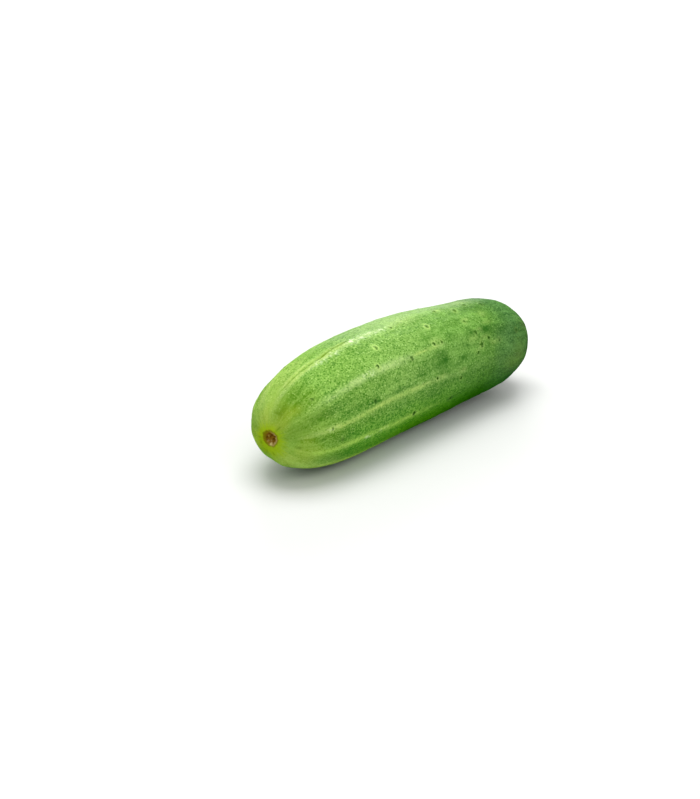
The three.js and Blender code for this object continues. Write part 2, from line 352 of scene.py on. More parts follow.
# Areas of skin: place along, bearing, half length, half width, strength.
patches = [  # darker green
    (0.022, 106, 2.5, 3.4, 0.45), (0.055, 113, 5, 5.5, 0.35), (0.56, 157.5, 3.4, 1.9, 1),
    (0.566, 157.8, 0.9, 0.7, 1.5), (0.553, 151, 5.5, 2.6, 0.5), (0.637, 162, 2.8, 1.2, 0.6),
    (0.64, 163, 7, 1.6, 0.35), (0.612, 135, 1.4, 0.9, 0.5), (0.765, 139, 6, 1.6, 0.9),
    (0.7, 138, 2.6, 1.7, 0.5), (0.768, 103, 5, 2.4, 0.4), (0.822, 104, 2.4, 1.5, 0.6),
    (0.825, 145, 6, 2.2, 0.3), (0.855, 163, 2, 0.8, 0.7), (0.89, 149, 2.2, 1.6, 0.4),
    (0.67, 151, 1.8, 0.6, 0.7), (0.452, 155, 1.4, 0.5, 0.6), (0.742, 184, 1.2, 0.6, 0.5),
    (0.235, 165.5, 3.2, 0.6, 0.9), (0.256, 166.5, 2.2, 0.6, 1), (0.36, 166.5, 7, 1, 0.6),
    (0.157, 163, 2, 0.9, 0.3), (0.1, 152, 12, 2.2, 0.35), (0.203, 109.5, 1, 0.8, 0.6),
    (0.068, 184, 1.3, 0.8, 0.6), (0.018, 196, 0.8, 0.7, 0.6), (0.13, 216, 11, 3.4, 0.4),
    (0.118, 190, 8, 3, 0.45), (0.422, 200, 1.7, 0.6, 1), (0.588, 203.5, 2, 1.2, 1),
    (0.5, 188, 9, 3, 0.25), (0.54, 162, 6, 4, 0.5), (0.46, 160, 5, 4, 0.3),
    (0.22, 163, 16, 4, 0.22), (0.845, 99, 5, 4, 0.35), (0.258, 90.8, 1.6, 0.5, 0.9),
    (0.306, 92.4, 1.4, 0.5, 0.9), (0.62, 30, 6, 3, 0.5), (0.4, 5, 7, 2.2, 0.4),
    (0.78, -20, 8, 3, 0.5), (0.3, 40, 9, 1.6, 0.5), (0.2, -10, 8, 3, 0.4),
    (0.5, 280, 9, 3, 0.4), (0.525, 157, 20, 10, 0.19), (0.095, 78, 5, 2.6, 0.25),
    # the areas at 0.89, 219 and 0.952, 174 on the next line are painted shade low at the stem end
    (0.865, 131, 5, 2.2, 0.28), (0.89, 219, 7, 3.6, 0.6), (0.952, 174, 4, 6, 0.35),
    (0.37, 79, 9, 3.5, 0.16),
]
bloomsAndSheen = [  # paler and dustier: partly a waxy bloom, partly painted sheen, most of all the long band along the top
    (0.57, 84, 30, 6, 0.36), (0.045, 80, 7, 4, 0.55), (0.5, 20, 30, 7, 0.3),
    (0.86, 189, 7, 4.5, 0.25), (0.94, 137, 4, 3.5, 0.1), (0.885, 182, 7, 6.5, 0.22),
]
creams = [  # pale, a little yellow
    (0.553, 137, 3.4, 2, 0.5), (0.655, 99.5, 2.6, 1, 0.75), (0.786, 118.5, 2.2, 2, 0.32),
    (0.78, 130.5, 3.4, 1.2, 0.34), (0.782, 156, 3, 1.2, 0.28), (0.745, 148, 2.4, 1.1, 0.28),
    (0.7, 147, 3.8, 1.6, 0.3), (0.706, 158.5, 2.2, 1, 0.25), (0.716, 121, 1.8, 1.1, 0.4),
    (0.14, 201.5, 3, 1, 0.5), (0.105, 172.5, 2.2, 1.2, 0.6), (0.095, 92.5, 1.4, 0.9, 0.8),
    # the area at bearing 241 on the next line is painted green bounce light on the lower side
    (0.06, 52, 11, 6, 0.45), (0.11, 241, 17, 6, 0.8), (0.74, 138, 1.6, 1, 0.5),
    (0.63, 175, 2.4, 1, 0.6), (0.537, 172.5, 3, 1.2, 0.45), (0.135, 71, 12, 5, 0.6),
    (0.51, 98, 8, 2.8, 0.48), (0.61, 45, 3, 1, 0.6), (0.73, 12, 2.2, 0.9, 0.6),
    (0.45, -5, 2.6, 0.9, 0.5), (0.765, 86, 6, 4, 0.3), (0.905, 190, 5, 4, 0.09),
    (0.947, 146, 3, 2.6, 0.08),
]
frostsAndGlints = [  # nearly white, on the stripes: partly pale skin, partly painted glints
    (0.236, 99, 3.2, 1.7, 0.5), (0.182, 98, 3.2, 1.7, 0.5), (0.32, 96.5, 3.4, 1.9, 0.7),
    (0.355, 97.6, 2.6, 1.8, 0.5), (0.392, 98.6, 3.6, 1.8, 0.65), (0.432, 99.8, 2.8, 1.5, 0.4),
    (0.262, 139, 3.4, 1, 0.5), (0.225, 201, 2.2, 0.7, 0.6), (0.285, 200.5, 3, 0.9, 0.3),
    (0.09, 172.8, 1.6, 0.9, 0.5),
]


# Distance over the skin, in millimetres, from a point at a place and bearing: along and across.
def fromPlace(t, bearing, place, towards):
    along = (t - place) * fruit["length"]
    across = np.radians(turnedFrom(bearing, towards)) * sectionRadius(t)
    return along, across


def areaMarks(t, bearing, areas):
    marks = np.zeros_like(t)
    for place, towards, halfLength, halfWidth, strength in areas:
        along, across = fromPlace(t, bearing, place, towards)
        shape = np.exp(-(along / halfLength) ** 2 - (across / halfWidth) ** 2)
        marks = np.maximum(marks, strength * shape)
    return marks


# Pitted domes for the warts, their dark middles and the pale rings round them.
def wartMarks(t, bearing, wartList, ragged):
    dome, core, ring = np.zeros_like(t), np.zeros_like(t), np.zeros_like(t)
    for place, towards, size, ringStrength, coreStrength, _ in wartList:
        along, across = fromPlace(t, bearing, place, towards)
        away = np.hypot(along, across) / size
        away[away > warts["reach"]] = farAway
        dome += warts["height"] * size * (1 - smoothstep(away, 0, warts["radius"]))
        dome -= warts["pitDepth"] * bump(away, 0, warts["pitRadius"])
        strayed = away + warts["coreUneven"] * ragged
        core = np.maximum(core, coreStrength * (1 - smoothstep(strayed, *warts["coreFades"])))
        circle = bump(strayed, warts["ringRadius"], warts["ringWidth"])
        ring = np.maximum(ring, ringStrength * circle)
    return dome, core, ring


# Distance across from the crease, and how much of it is left at each place along.
def creaseCourse(t, bearing):
    places, bearings = np.array(crease["route"]).T
    turned = np.radians(turnedFrom(bearing, np.interp(t, places, bearings)))
    starts = smoothstep(t, places[0], places[0] + crease["fadeIn"])
    ends = smoothstep(t, places[-1] - crease["fadeOut"], places[-1])
    return np.abs(turned * sectionRadius(t)), starts * (1 - ends)


def creaseMarks(t, bearing):
    away, lasts = creaseCourse(t, bearing)
    wave = rippleAlong(t * fruit["length"], crease["unevenSize"], crease["unevenSeed"])
    strength = 1 - crease["uneven"] + crease["uneven"] * np.clip(wave, -1, 1)
    groove = bump(away, 0, crease["halfWidth"]) * lasts * strength
    lip = bump(away, crease["lipAway"], crease["lipWidth"]) * lasts
    return groove, lip


# Dark marks close round the blossom scar: bearing, distance from the axis, half length towards
# the axis, half width, strength.
marksByScar = [
    (25.5, 3.9, 0.5, 0.6, 0.8), (124.5, 6, 1.4, 0.35, 0.8), (98, 10.9, 0.45, 1.8, 0.8),
    (17.7, 9.2, 1.2, 0.5, 0.4), (332, 6.4, 1.5, 1.2, 0.6), (297, 8, 1.8, 0.7, 0.6),
    (270.4, 7.3, 0.7, 0.6, 0.8), (265, 8.9, 0.4, 0.4, 0.5), (174, 6.8, 0.6, 0.6, 0.4),
    # the broad mark at bearing 312 on the next line is partly painted shade
    (207, 6.5, 1, 0.4, 0.35), (353, 6.2, 1.4, 0.5, 0.6), (312, 10, 3.5, 4, 0.45),
]


def scarMarks(t, bearing):
    radius = sectionRadius(t)
    marks = np.zeros_like(t)
    for towards, distance, halfLength, halfWidth, strength in marksByScar:
        across = np.radians(turnedFrom(bearing, towards)) * radius
        shape = np.exp(-((radius - distance) / halfLength) ** 2 - (across / halfWidth) ** 2)
        marks = np.maximum(marks, strength * shape * (t < 0.5))
    return marks


def stripeMarks(t, bearing, arc):
    marks, yellow = np.zeros_like(t), np.zeros_like(t)
    sway = stripes["wander"] * rippleAlong(arc, stripes["wanderSize"], stripes["wanderSeed"])
    wider = 1 + stripes["widerAtTip"] * (1 - smoothstep(t, 0.0, stripes["widerTo"]))
    for number, stripe in enumerate(stripes["places"]):
        course, halfWidth, strength, warmth, starts, fades = stripe
        places, bearings = np.array(course).T
        centre = np.interp(t, places, bearings) + sway * math.cos(number * stripes["wanderTurn"])
        away = np.abs(turnedFrom(bearing, centre)) / wider
        lasts = smoothstep(t, *starts) * (1 - smoothstep(t, *fades))
        inStripe = np.exp(-(away / halfWidth) ** stripes["edge"])
        inYellow = np.exp(-(away / (stripes["yellowWider"] * halfWidth)) ** stripes["yellowEdge"])
        marks = np.maximum(marks, strength * lasts * inStripe)
        yellow = np.maximum(yellow, warmth * lasts * inYellow)
    return marks, yellow


rays = dict(lengthwise=0.035, spread=9.0, size=1.0, seed=41, fullAt=1.6)


# Faint lengthwise rays that draw together at both ends, about -1 to 1.
def rayMarks(arc, around):
    spokes = np.column_stack([arc * rays["lengthwise"], rays["spread"] * around])
    return np.clip(ripple(spokes, rays["size"], rays["seed"]) / rays["fullAt"], -1, 1)


# Round spots on a scar.
def spotMarks(offAxis, spots):
    marks = []
    for bearing, distance, radius, strength in spots:
        angle = math.radians(bearing)
        centre = distance * np.array([math.cos(angle), math.sin(angle)])
        marks.append(strength * bump(np.linalg.norm(offAxis - centre, axis=1), 0, radius))
    return np.max(marks, axis=0)


# Corky tissue in the blossom scar: its relief, and marks for the pale nodules and the pits.
def blossomTissue(offAxis, radius, notes):
    nodule, pit = spotMarks(offAxis, blossom["nodules"]), spotMarks(offAxis, blossom["pits"])
    inScar = 1 - smoothstep(radius, blossom["discRadius"], blossom["rimRadius"])
    lumps = ripple(notes, blossom["corkSize"], blossom["corkSeed"])
    relief = blossom["cork"] * lumps * inScar
    relief += blossom["noduleHeight"] * nodule - blossom["pitDepth"] * pit
    return relief, nodule, pit


# Dry tissue on the stub: its relief, and marks for the ends of the strands.
def stemTissue(offAxis, radius, angle, notes):
    draw = np.random.default_rng(stem["bundleSeed"])
    strays = draw.uniform(-1, 1, (stem["bundles"], 2)) * stem["bundleStray"]
    bundle = spotMarks(offAxis, [
        (360 * (number + turn) / stem["bundles"], stem["bundleAt"] + out, stem["bundleRadius"], 1)
        for number, (out, turn) in enumerate(strays)
    ])
    onStub = 1 - smoothstep(radius, stem["stubRadius"], stem["stubFoot"])
    sideAt = stem["stubFoot"] - stem["strandInside"]
    onSide = bump(radius, sideAt, stem["strandReach"])
    wander = stem["strandWander"] * np.cos(2 * angle)
    strand = np.cos(stem["strands"] * angle + wander)
    lumps = ripple(notes, stem["corkSize"], stem["corkSeed"]) - 1
    relief = stem["cork"] * lumps * onStub
    relief += stem["strandHeight"] * strand * onSide - stem["bundleDepth"] * bundle
    return relief, bundle


# Skin drawn into folds round a scar.
def puckerRelief(scar, radius, angle):
    first, second = puckerWander
    phase = scar["puckers"] * angle + scar["puckerTurn"]
    folds = np.cos(phase + first * np.cos(angle) + second * np.sin(2 * angle))
    return scar["puckerHeight"] * folds * bump(radius, scar["puckerAt"], scar["puckerReach"])


skinMesh = dict(
    around=224, spacing=0.74,  # vertices round the fruit, and millimetres between rings
    tipReach=5.4, tipSpacing=0.2,  # finer rings this far from each tip
    seam=-90.0,  # bearing of the seam, under the fruit
    divisions=2,  # times that faces with fine marks are divided again
    refineRadius=1.45,  # such faces lie this far round a wart of size 1, in millimetres
    refineCrease=0.8,  # and this far beside the crease
    undersideFrom=(-0.45, 0.75),  # over which minus the bearing's sine counts as underside
    paintPower=0.55,  # under 1, so that paint pinches less at the tips
    arcSamples=6001,
    weld=1e-6,  # metres
)

# Arc length over the plain profile against the place along.
tablePlaces = placesAlong(skinMesh["arcSamples"])
profile = np.column_stack([tablePlaces * fruit["length"], sectionRadius(tablePlaces)])
profileSteps = np.linalg.norm(np.diff(profile, axis=0), axis=1)
tableArcs = np.concatenate([[0], np.cumsum(profileSteps)])
totalArc = tableArcs[-1]


def placeOfArc(arc):
    return np.interp(arc, tableArcs, tablePlaces)


def ringArcs():
    reach, fine, coarse = skinMesh["tipReach"], skinMesh["tipSpacing"], skinMesh["spacing"]
    tip = np.linspace(0, reach, round(reach / fine) + 1)
    middle = np.linspace(reach, totalArc - reach, round((totalArc - 2 * reach) / coarse) + 1)
    return np.concatenate([tip, middle[1:-1], (totalArc - tip)[::-1]])


# Which faces, by their middles, hold fine marks.
def needsDividing(t, bearing, wartList):
    away, lasts = creaseCourse(t, bearing)
    wanted = (away < skinMesh["refineCrease"]) & (lasts > 0)
    for place, towards, size, *_ in wartList:
        along, across = fromPlace(t, bearing, place, towards)
        wanted |= along ** 2 + across ** 2 < (skinMesh["refineRadius"] * size) ** 2
    return wanted


# The skin laid out flat: x is the arc length and y the bearing.
def flatSkin(wartList):
    sheet = bmesh.new()
    bearings = skinMesh["seam"] + np.linspace(0, 360, skinMesh["around"] + 1)
    grid = [[sheet.verts.new((arc, bearing, 0)) for bearing in bearings] for arc in ringArcs()]
    for row, nextRow in zip(grid, grid[1:]):
        for j in range(skinMesh["around"]):
            sheet.faces.new((row[j], row[j + 1], nextRow[j + 1], nextRow[j]))
    for _ in range(skinMesh["divisions"]):
        sheet.faces.ensure_lookup_table()
        middles = np.array([face.calc_center_median()[:2] for face in sheet.faces])
        wanted = needsDividing(placeOfArc(middles[:, 0]), middles[:, 1], wartList)
        edges = {edge for index in np.flatnonzero(wanted) for edge in sheet.faces[index].edges}
        bmesh.ops.subdivide_edges(sheet, edges=list(edges), cuts=1, use_grid_fill=True)
    mesh = bpy.data.meshes.new("cucumberSkin")
    sheet.to_mesh(mesh)
    sheet.free()
    return mesh


def giveAttribute(mesh, name, values):
    kind, field = ("FLOAT_VECTOR", "vector") if values.ndim == 2 else ("FLOAT", "value")
    attribute = mesh.attributes.new(name, kind, "POINT")
    attribute.data.foreach_set(field, values.astype(np.float32).ravel())


# One flat map of the whole skin: arc length across and bearing up.
def giveMap(mesh, arc, bearing):
    corners = np.empty(len(mesh.loops), dtype=np.int32)
    mesh.loops.foreach_get("vertex_index", corners)
    place = np.column_stack([arc / totalArc, (bearing - skinMesh["seam"]) / 360])
    layer = mesh.uv_layers.new(name="OFBake")
    layer.data.foreach_set("uv", place[corners].astype(np.float32).ravel())


# Closes the seam and both tips.
def weldSkin(mesh):
    whole = bmesh.new()
    whole.from_mesh(mesh)
    bmesh.ops.remove_doubles(whole, verts=whole.verts, dist=skinMesh["weld"])
    for face in whole.faces:
        face.smooth = True
    bmesh.ops.recalc_face_normals(whole, faces=whole.faces)
    whole.to_mesh(mesh)
    whole.free()
    mesh.update()


def placeObject(name, data):
    placed = bpy.data.objects.new(name, data)
    bpy.context.scene.collection.objects.link(placed)
    return placed


def buildSkin():
    wartList = wartPlaces()
    mesh = flatSkin(wartList)
    laidOut = np.empty(len(mesh.vertices) * 3)
    mesh.vertices.foreach_get("co", laidOut)
    arc, bearing, _ = laidOut.reshape(-1, 3).T
    t = placeOfArc(arc)
    radius = sectionRadius(t)
    angle = np.radians(bearing)
    around = np.column_stack([np.cos(angle), np.sin(angle)])
    offAxis = radius[:, None] * around

    wartNotes = np.column_stack([arc, offAxis])
    coreRagged = ripple(wartNotes, warts["coreUnevenSize"], warts["coreUnevenSeed"])
    dome, wartCore, wartRing = wartMarks(t, bearing, wartList, coreRagged)
    groove, lip = creaseMarks(t, bearing)
    extra = fineRelief(arc, offAxis) + dome - crease["depth"] * groove + crease["lip"] * lip

    byBlossom = t < 0.5
    tipNotes = tipsApart * (t > 0.5)
    outline = np.column_stack([blossom["unevenRadius"] * around, tipNotes])
    ragged = ripple(outline, blossom["unevenSize"], blossom["unevenSeed"])
    scarNotes = np.column_stack([offAxis, tipNotes])
    blossomExtra, nodule, pit = blossomTissue(offAxis, radius, scarNotes)
    stemExtra, bundle = stemTissue(offAxis, radius, angle, scarNotes)
    extra += np.where(byBlossom, *(puckerRelief(scar, radius, angle) for scar in (blossom, stem)))
    uneven = np.where(byBlossom, blossom["uneven"], stem["uneven"]) * ragged
    endExtra = np.where(byBlossom, blossomExtra, stemExtra)
    points = skinPoint(t, bearing, extra, endExtra, uneven) + offset
    points[:, 2] = np.maximum(points[:, 2], 0)

    # what the paint reads: places on the skin, and how strong each mark is there
    paintRadius = fruit["girthRadius"] * (radius / fruit["girthRadius"]) ** skinMesh["paintPower"]
    stripe, stripeYellow = stripeMarks(t, bearing, arc)
    towardsHalo = np.cos(np.radians(bearing - blossom["haloBearing"]) / 2) ** 2
    haloScale = 1 - blossom["haloLopsided"] * towardsHalo
    towardsPale = np.cos(np.radians(bearing - blossom["ringBearing"]))
    marks = {
        "skinPlace": np.column_stack([arc, paintRadius[:, None] * around]),
        "along": t,
        "underside": smoothstep(-np.sin(angle), *skinMesh["undersideFrom"]),
        "stripe": stripe,
        "stripeYellow": stripeYellow,
        "rays": rayMarks(arc, around),
        "crease": groove,
        "creaseLip": lip,
        "wartCore": wartCore,
        "wartRing": wartRing,
        "darkPatch": areaMarks(t, bearing, patches),
        "bloomAndSheen": areaMarks(t, bearing, bloomsAndSheen),
        "cream": areaMarks(t, bearing, creams),
        "frostAndGlint": areaMarks(t, bearing, frostsAndGlints),
        "blossomAway": np.where(byBlossom, radius + uneven, farAway),
        "haloAway": np.where(byBlossom, (radius + uneven) * haloScale, farAway),
        "nodule": nodule * byBlossom,
        "scarPit": pit * byBlossom,
        "ringPale": 0.5 + 0.5 * towardsPale,
        "scarMark": scarMarks(t, bearing),
        "stemAway": np.where(byBlossom, farAway, radius + uneven),
        "stemBundle": bundle * ~byBlossom,
    }
    for name, values in marks.items():
        giveAttribute(mesh, name, values)
    giveMap(mesh, arc, bearing)

    mesh.vertices.foreach_set("co", (points * millimetre).ravel())
    weldSkin(mesh)
    triangles = sum(len(polygon.vertices) - 2 for polygon in mesh.polygons)
    print("skin made,", triangles, "triangles")
    return placeObject("cucumberSkin", mesh)


def screenColour(red, green, blue):  # as a screen shows it, 0 to 255
    shares = [channel / 255 for channel in (red, green, blue)]
    linear = [s / 12.92 if s < 0.04045 else ((s + 0.055) / 1.055) ** 2.4 for s in shares]
    return (*linear, 1.0)


# The skin's material. The helpers below add nodes to its tree, and each hands back an output.
waxySkin = bpy.data.materials.new("waxyCucumberSkin")
waxySkin.use_nodes = True
tree = waxySkin.node_tree
tree.nodes.clear()


def setInput(socket, value):
    if isinstance(value, bpy.types.NodeSocket):
        tree.links.new(value, socket)
    else:
        socket.default_value = value


def addNode(kind, inputs=(), **settings):
    node = tree.nodes.new("ShaderNode" + kind)
    for name, value in settings.items():
        setattr(node, name, value)
    for name, value in dict(inputs).items():
        setInput(node.inputs[name], value)
    return node


def mark(name):  # one of the skin's own attributes, as a number
    return addNode("Attribute", attribute_name=name).outputs["Fac"]


def calculate(operation, result, *others, clamp=False):
    for other in others:
        node = addNode("Math", {0: result, 1: other}, operation=operation, use_clamp=clamp)
        result = node.outputs[0]
    return result


def plus(*values, clamp=False):
    return calculate("ADD", *values, clamp=clamp)


def minus(first, second):
    return calculate("SUBTRACT", first, second)


def times(*values):
    return calculate("MULTIPLY", *values)


def most(*values):
    return calculate("MAXIMUM", *values)


def between(value, low, high, toLow=0.0, toHigh=1.0):
    inputs = {"Value": value, "From Min": low, "From Max": high, "To Min": toLow, "To Max": toHigh}
    return addNode("MapRange", inputs, interpolation_type="SMOOTHSTEP").outputs[0]


def stretched(place, lengthwise):
    scaled = addNode("VectorMath", {0: place, 1: (lengthwise, 1, 1)}, operation="MULTIPLY")
    return scaled.outputs[0]


def grain(place, lengthwise, scale, detail, roughness):
    place = stretched(place, lengthwise)
    inputs = {"Vector": place, "Scale": scale, "Detail": detail, "Roughness": roughness}
    return addNode("TexNoise", inputs).outputs["Fac"]


def swayed(noise, strength, low=0.3, high=0.7):  # noise turned into -strength to strength
    return between(noise, low, high, -strength, strength)


# Irregular specks: their reach is a share of the cells', and some cells stay empty.
def specks(place, lengthwise, scale, reach, empty, solid=0.3):
    place = stretched(place, lengthwise)
    node = addNode("TexVoronoi", {"Vector": place, "Scale": scale, "Randomness": 1.0})
    luck = addNode("SeparateColor", {"Color": node.outputs["Color"]}).outputs["Red"]
    near = between(node.outputs["Distance"], reach * solid, reach, 1.0, 0.0)
    return times(near, between(luck, empty, 1.0))


# Two colours, as outputs or as a screen shows them. The node takes them as inputs 6 and 7.
def mixed(share, under, over):
    node = addNode("Mix", data_type="RGBA", clamp_factor=True)
    for place, value in ((0, share), (6, under), (7, over)):
        setInput(node.inputs[place], screenColour(*value) if isinstance(value, tuple) else value)
    return node.outputs[2]


def colourRun(value, stops):
    node = addNode("ValToRGB", {"Fac": value})
    while len(node.color_ramp.elements) < len(stops):
        node.color_ramp.elements.new(0.5)
    for element, (position, colour) in zip(node.color_ramp.elements, stops):
        element.position = position
        element.color = screenColour(*colour)
    return node.outputs["Color"]


# In the paint's settings a noise is its lengthwise scale, cells to a millimetre, detail and
# roughness. Specks are the same two, then reach and the share left empty. Below 1, a lengthwise
# scale makes them longer than wide. A fade is from where to where, and the strengths there.

# Greens of the skin along the fruit, as a screen shows them. Light and deep mottle each other,
# their darker shaded copies are painted shade on the underside, and the palest are for the
# strongest specks.
greens = dict(
    light=[
        (0, (154, 178, 70)), (0.05, (136, 171, 72)), (0.15, (137, 177, 82)),
        (0.45, (138, 178, 87)), (0.62, (124, 169, 78)), (0.76, (108, 154, 65)),
        (0.86, (91, 135, 70)), (1, (60, 104, 42)),
    ],
    deep=[
        (0, (118, 146, 20)), (0.05, (84, 126, 20)), (0.15, (62, 115, 28)),
        (0.45, (66, 117, 29)), (0.62, (63, 113, 25)), (0.76, (52, 99, 19)),
        (0.86, (47, 87, 37)), (1, (28, 62, 20)),
    ],
    undersideShadeLight=[
        (0, (152, 184, 76)), (0.05, (134, 180, 76)), (0.15, (104, 163, 50)),
        (0.45, (84, 148, 14)), (0.62, (52, 114, 0)), (0.76, (36, 96, 0)),
        (0.86, (58, 110, 33)), (1, (44, 84, 18)),
    ],
    undersideShadeDeep=[
        (0, (114, 150, 34)), (0.05, (88, 140, 34)), (0.15, (50, 116, 20)),
        (0.45, (36, 104, 0)), (0.62, (16, 78, 0)), (0.76, (12, 66, 0)),
        (0.86, (26, 74, 22)), (1, (18, 54, 8)),
    ],
    palest=[
        (0, (172, 198, 112)), (0.15, (174, 200, 122)), (0.45, (174, 202, 130)),
        (0.7, (150, 184, 108)), (0.86, (112, 154, 78)), (1, (68, 108, 44)),
    ],
    palestBySpeck=(0.35, 0.9, 0, 0.35), palestByLow=(0, 0.9, 1, 0.25),
    drift=0.04,  # how far the runs stray along the fruit
    driftNoise=(0.6, 0.045, 2, 0.5),
    patch=(26, 76, 30), patchShare=0.5,
)

# Mottling. Strengths are shares of the way from light to deep.
mottle = dict(
    paleSpecks=(0.75, 1.1, 0.52, 0.25), paleStrength=1.1,
    darkSpecks=(0.75, 1, 0.52, 0.25), darkStrength=1,
    fineNoise=(0.75, 1.4, 2, 0.6), fineStrength=0.42,
    specksFromTip=(0, 0.1, 0.35, 1), specksToStem=(0.35, 0.6, 0.96, 0.72),
    specksByLow=(0, 0.5, 0.81, 1.25),
    cloudNoise=(0.55, 0.14, 3, 0.55), clouds=(0.25, 0.75, 0.43, 0.53),
    streakNoise=(0.1, 0.42, 2, 0.5), streakStrength=0.08,
    blotchNoise=(0.75, 0.3, 2, 0.5), blotchStrength=0.14, blotchFromTip=(0.05, 0.6, 0.2, 1),
    raysFromTip=(0.08, 0.25, 0.17, 0.06), raysToStem=(0.78, 0.94, 0.06, 0.26),
    patchStrength=0.55, stripeStrength=0.2,
)


# The mottled green, all its specks, the pale ones alone, and the fine noise.
def mottledGreen(place, along, low):
    fine = grain(place, *mottle["fineNoise"])
    pale = specks(place, *mottle["paleSpecks"])
    dark = specks(place, *mottle["darkSpecks"])
    speck = minus(times(dark, mottle["darkStrength"]), times(pale, mottle["paleStrength"]))
    speck = plus(speck, swayed(fine, mottle["fineStrength"]))
    fromTip = between(along, *mottle["specksFromTip"])
    toStem = between(along, *mottle["specksToStem"])
    speckStrength = times(fromTip, toStem, between(low, *mottle["specksByLow"]))

    blotches = swayed(grain(place, *mottle["blotchNoise"]), mottle["blotchStrength"])
    raysAtEnds = between(along, *mottle["raysFromTip"]), between(along, *mottle["raysToStem"])
    depth = plus(
        between(grain(place, *mottle["cloudNoise"]), *mottle["clouds"]),
        swayed(grain(place, *mottle["streakNoise"]), mottle["streakStrength"]),
        times(blotches, between(along, *mottle["blotchFromTip"])),
        times(mark("rays"), most(*raysAtEnds)),
        times(mark("darkPatch"), mottle["patchStrength"]),
        times(mark("stripe"), -mottle["stripeStrength"]),
    )
    depth = plus(depth, times(speck, speckStrength), clamp=True)

    drift = grain(place, *greens["driftNoise"])
    shifted = plus(along, swayed(drift, greens["drift"]))
    # the underside takes the shaded runs: painted shade
    light = mixed(low, colourRun(shifted, greens["light"]), colourRun(shifted, greens["undersideShadeLight"]))
    deep = mixed(low, colourRun(shifted, greens["deep"]), colourRun(shifted, greens["undersideShadeDeep"]))
    colour = mixed(depth, light, deep)
    palest = times(between(pale, *greens["palestBySpeck"]), between(low, *greens["palestByLow"]))
    colour = mixed(times(palest, speckStrength), colour, colourRun(shifted, greens["palest"]))
    colour = mixed(times(mark("darkPatch"), greens["patchShare"]), colour, greens["patch"])
    return colour, speck, pale, fine


# Markings on the green: colours as a screen shows them, and how much of each there is.
markings = dict(
    # the bloom colour is a waxy bloom that is partly painted sheen
    bloomAndSheen=(156, 182, 72), bloomAndSheenShare=0.45,
    # on the underside the stripes take a brighter, greener colour: painted bounce light from below
    stripePale=(188, 208, 144), stripeYellow=(176, 200, 84), stripeBounceGreen=(172, 214, 88),
    stripeShare=0.46, speckStrength=0.5,  # specks break the stripes and the cream up
    streakNoise=(0.22, 1, 3, 0.6), streakStrength=0.34,  # so do fine streaks
    gapNoise=(0.5, 0.3, 2, 0.5), gapStrength=0.3,  # and broad gaps
    cream=(184, 206, 116), creamShare=0.45,
    # the frost colour is partly pale skin and partly painted glints
    frostAndGlint=(232, 244, 206), frostAndGlintShare=0.26, frostAndGlintBroken=1.3,
    clumpNoise=(1, 0.6, 1, 0.5), clumpStrength=2.4,  # the frost lies in clumps
    fleck=(120, 158, 60), fleckSpecks=(0.5, 0.75, 0.4, 0.35), flecksToStem=(0.84, 0.97, 0, 0.5),
    creaseLip=(164, 186, 92), creaseLipShare=0.4,
    crease=(96, 120, 4), creaseShare=0.95,
    wartRing=(176, 210, 112), wartRingShare=0.62,
    wartCore=(22, 66, 0), wartCoreShare=0.9,
)


# One marking laid on the green, whole or broken up.
def laidOn(under, name, over, broken=1.0):
    return mixed(times(mark(name), markings[name + "Share"], broken), under, over)


def markedSkin(colour, place, along, low, speck):
    streaks = swayed(grain(place, *markings["streakNoise"]), markings["streakStrength"])
    gaps = swayed(grain(place, *markings["gapNoise"]), markings["gapStrength"])
    broken = plus(minus(plus(streaks, gaps), times(speck, markings["speckStrength"])), 1.0)
    stripe = mixed(mark("stripeYellow"), markings["stripePale"], markings["stripeYellow"])
    # the stripes turn to the painted bounce light colour on the underside
    stripe = mixed(low, stripe, markings["stripeBounceGreen"])
    colour = laidOn(colour, "bloomAndSheen", markings["bloomAndSheen"])
    colour = laidOn(colour, "stripe", stripe, broken)
    colour = laidOn(colour, "cream", markings["cream"], broken)
    clumps = swayed(grain(place, *markings["clumpNoise"]), markings["clumpStrength"])
    broken = plus(minus(broken, times(speck, markings["frostAndGlintBroken"])), clumps)
    colour = laidOn(colour, "frostAndGlint", markings["frostAndGlint"], broken)
    flecks = specks(place, *markings["fleckSpecks"])
    flecks = times(flecks, between(along, *markings["flecksToStem"]))
    colour = mixed(flecks, colour, markings["fleck"])
    for name in ("creaseLip", "crease", "wartRing", "wartCore"):
        colour = laidOn(colour, name, markings[name])
    return colour


# Colours of both scars, and how each fades with millimetres from its scar's middle.
scarPaint = dict(
    roughNoise=(1, 2.2, 3, 0.65), ragged=0.22,  # how far their edges stray
    halo=(138, 168, 0), haloFade=(3.4, 7.6, 0.85, 0), haloRays=0.9,
    mark=(82, 114, 8), markShare=0.9,
    fringe=(108, 96, 10), fringeFade=(3.3, 4.3, 0.9, 0),
    ring=(150, 132, 82), ringFade=(3.1, 3.5, 1, 0), ringByPale=(0.2, 0.9, 0, 0.95),
    cork=(138, 104, 26), corkFade=(2.4, 2.8, 1, 0), deep=(76, 46, 4), deepFrom=(0.4, 0.66),
    nodule=(196, 186, 120),
    skirt=(84, 104, 40), skirtFade=(3.9, 5.2, 0.8, 0),
    stub=(150, 134, 86), stubFade=(3.2, 3.9, 1, 0),
    stubDeep=(106, 88, 48), fibreNoise=(1, 3.4, 2, 0.6), stubDeepFrom=(0.35, 0.65),
    pith=(140, 136, 76), pithFade=(0.5, 1.1, 0.6, 0),
    bundle=(74, 56, 28), bundleShare=0.75,
)


